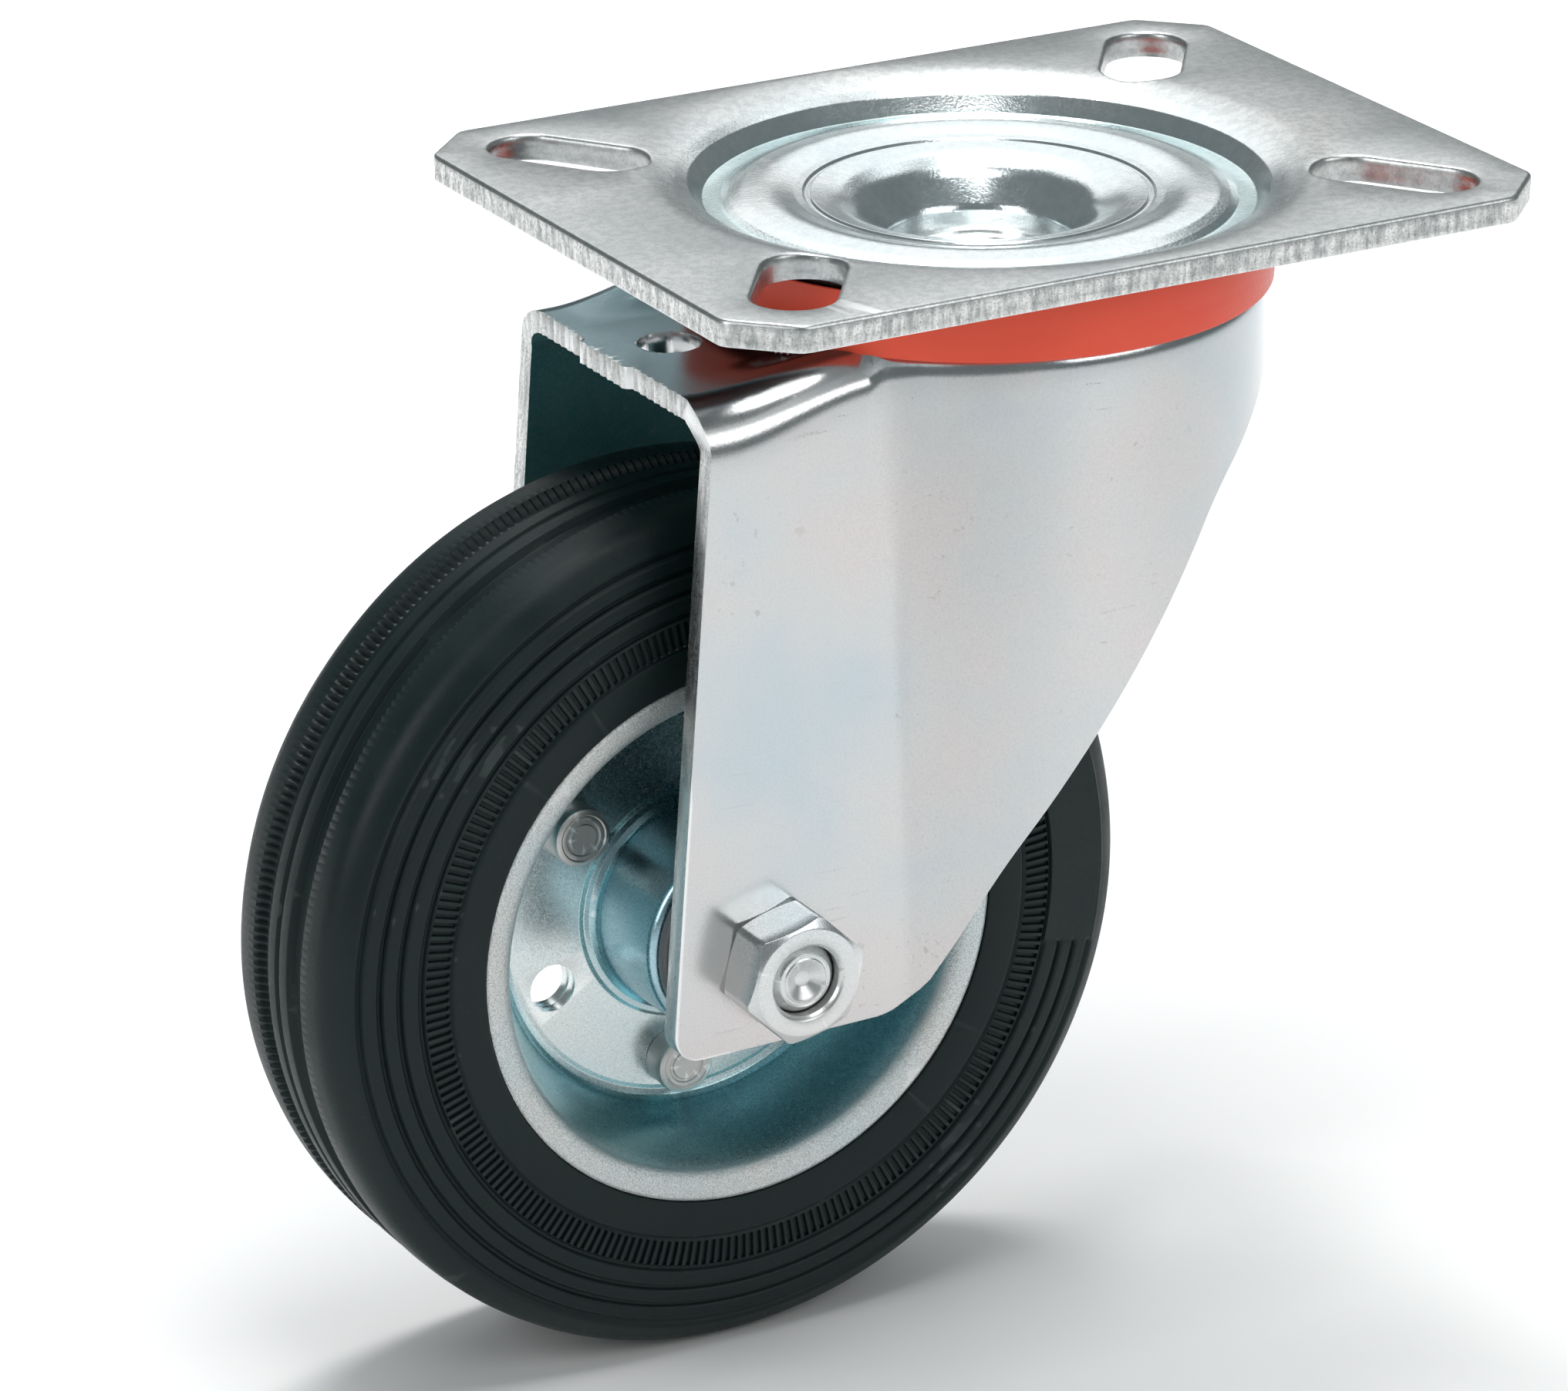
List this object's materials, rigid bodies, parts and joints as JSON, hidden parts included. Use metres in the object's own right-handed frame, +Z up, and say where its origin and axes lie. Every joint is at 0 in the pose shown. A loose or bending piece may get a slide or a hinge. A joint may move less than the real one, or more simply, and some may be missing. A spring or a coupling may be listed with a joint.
{
  "type": "swivel castor",
  "caption": "Plate-mounted swivel castor: pressed steel fork on a ball-race head, trailing a rubber-tyred wheel on a bolted axle.",
  "frame": {"origin": "centre of the plate's top face, on the swivel axis", "axes": "+Z up out of the plate, X along the plate's long side, fork trailing towards -X at rest, axle along Y with its nut on -Y"},
  "size_m": [0.1383, 0.079, 0.129],
  "materials": {
    "plate_zinc": "bright zinc plate over pressed steel, faint grain",
    "fork_zinc": "bright zinc plate over drawn steel, satin, faint blue passivation",
    "rim_zinc": "bright zinc plate with a blue-green passivation",
    "rivet_zinc": "dull zinc plate",
    "bolt_zinc": "bright zinc plate on a turned fastener",
    "pin_zinc": "bright zinc plate",
    "race_zinc": "plain pressed steel",
    "ball_steel": "polished hardened steel",
    "orange_plastic": "satin moulded plastic",
    "grey_plastic": "satin moulded plastic",
    "black_rubber": "moulded rubber, satin"
  },
  "bodies": {
    "plate": {"top_plate": "plate_zinc", "king_pin": "pin_zinc", "lower_race": "race_zinc"},
    "upper_ball_set": {"upper_balls": "ball_steel"},
    "lower_ball_set": {"lower_balls": "ball_steel"},
    "fork": {"fork": "fork_zinc", "dust_ring": "orange_plastic", "axle_bolt": "bolt_zinc", "axle_nut": "bolt_zinc", "axle_tube": "pin_zinc", "thrust_washer_near": "pin_zinc", "thrust_washer_far": "pin_zinc"},
    "wheel": {"tyre": "black_rubber", "rim_near": "rim_zinc", "rim_far": "rim_zinc", "rim_rivets": "rivet_zinc", "bearing_race": "race_zinc", "hub_cap_near": "grey_plastic", "hub_cap_far": "grey_plastic"},
    "roller_set": {"roller_cage": "grey_plastic", "rollers": "ball_steel"}
  },
  "joints": [
    {"name": "swivel", "type": "hinge", "parent": "plate", "child": "fork", "pos_m": [0, 0, -0.0085], "axis": [0, 0, 1], "continuous": true},
    {"name": "upper_ball_orbit", "type": "hinge", "parent": "plate", "child": "upper_ball_set", "pos_m": [0, 0, -0.0085], "axis": [0, 0, 1], "continuous": true},
    {"name": "lower_ball_orbit", "type": "hinge", "parent": "plate", "child": "lower_ball_set", "pos_m": [0, 0, -0.0153], "axis": [0, 0, 1], "continuous": true},
    {"name": "wheel_spin", "type": "hinge", "parent": "fork", "child": "wheel", "pos_m": [-0.0378, 0, -0.079], "axis": [0, 1, 0], "continuous": true},
    {"name": "roller_orbit", "type": "hinge", "parent": "fork", "child": "roller_set", "pos_m": [-0.0378, 0, -0.079], "axis": [0, 1, 0], "continuous": true}
  ],
  "couplings": [
    {"joint": "upper_ball_orbit", "follows": "swivel", "ratio": 0.5},
    {"joint": "lower_ball_orbit", "follows": "swivel", "ratio": 0.5},
    {"joint": "roller_orbit", "follows": "wheel_spin", "ratio": 0.6}
  ]
}
